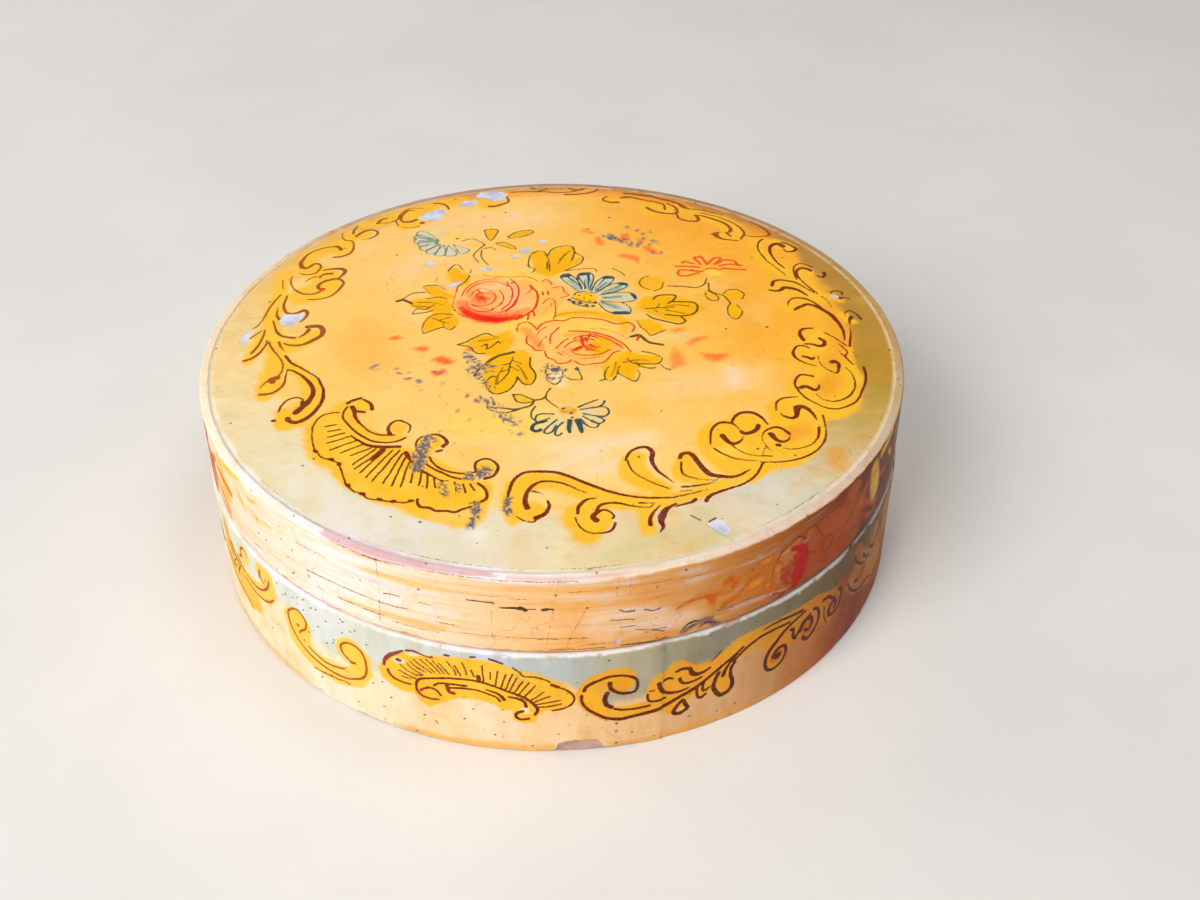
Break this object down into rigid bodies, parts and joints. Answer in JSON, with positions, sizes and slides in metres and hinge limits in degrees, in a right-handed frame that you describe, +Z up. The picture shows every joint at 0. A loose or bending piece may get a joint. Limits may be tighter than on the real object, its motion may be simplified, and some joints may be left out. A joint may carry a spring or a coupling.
{
  "type": "round lidded box",
  "caption": "Shallow round papier-mache box with an inner collar and a lift-off lid, painted with scroll and flower ornament.",
  "frame": {"origin": "centre of the underside, on the surface that the box stands on", "axes": "+Z up along the axis of the round box, the way the lid lifts off; -Y is the front of the painting"},
  "size_m": [0.16, 0.16, 0.0483],
  "materials": {
    "painted_base_wall": "cream and grey-green paint with ochre scrolls under worn varnish",
    "painted_lid_wall": "peach paint under worn, crazed varnish",
    "painted_lid_top": "peach-yellow field, flowers and ochre scrolls under satin varnish",
    "bare_papier_mache": "unpainted pressed paper pulp, matt"
  },
  "bodies": {
    "base": {"base_band": "painted_base_wall", "base_panel": "bare_papier_mache", "base_collar": "bare_papier_mache"},
    "lid": {"lid_band": "painted_lid_wall", "lid_panel": "painted_lid_top"}
  },
  "joints": [
    {"name": "lid_lift", "type": "slide", "parent": "base", "child": "lid", "axis": [0, 0, 1], "range_m": [0, 0.06]}
  ]
}
